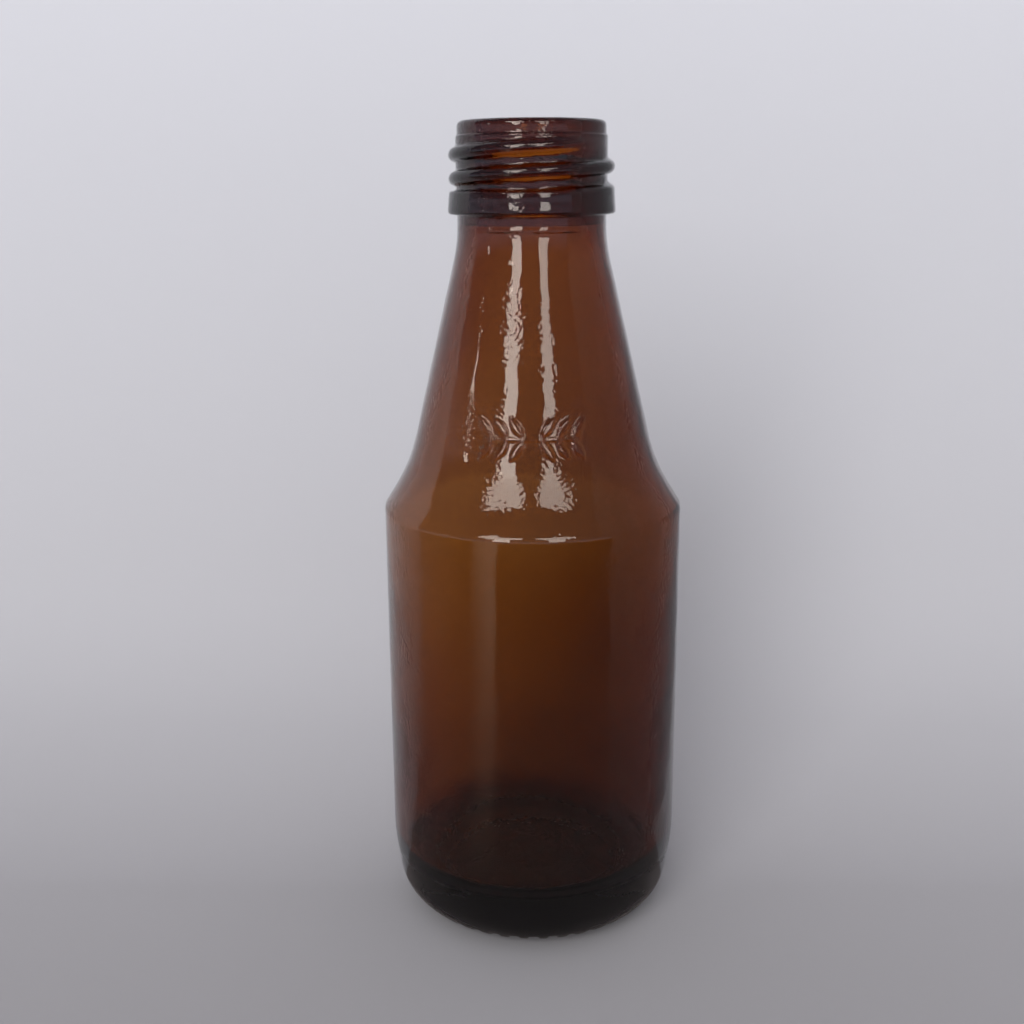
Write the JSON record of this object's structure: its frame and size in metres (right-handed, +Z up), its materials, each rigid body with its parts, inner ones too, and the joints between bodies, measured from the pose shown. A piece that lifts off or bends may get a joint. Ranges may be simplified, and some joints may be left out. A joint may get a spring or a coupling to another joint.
{
  "type": "glass soda bottle",
  "caption": "Small amber glass soda bottle with straight body, concave shoulder, tapering neck and an open screw finish above a locking bead.",
  "frame": {"origin": "centre of the base, on the bearing plane", "axes": "+Z up along the bottle's axis towards the mouth; -Y is the front that the picture shows; the mould seams lie at +X and -X"},
  "size_m": [0.0518, 0.0518, 0.1385],
  "materials": {
    "amber_glass": "glossy amber container glass, lightly scuffed"
  },
  "bodies": {
    "root": {"bottle_glass": "amber_glass"}
  },
  "joints": []
}
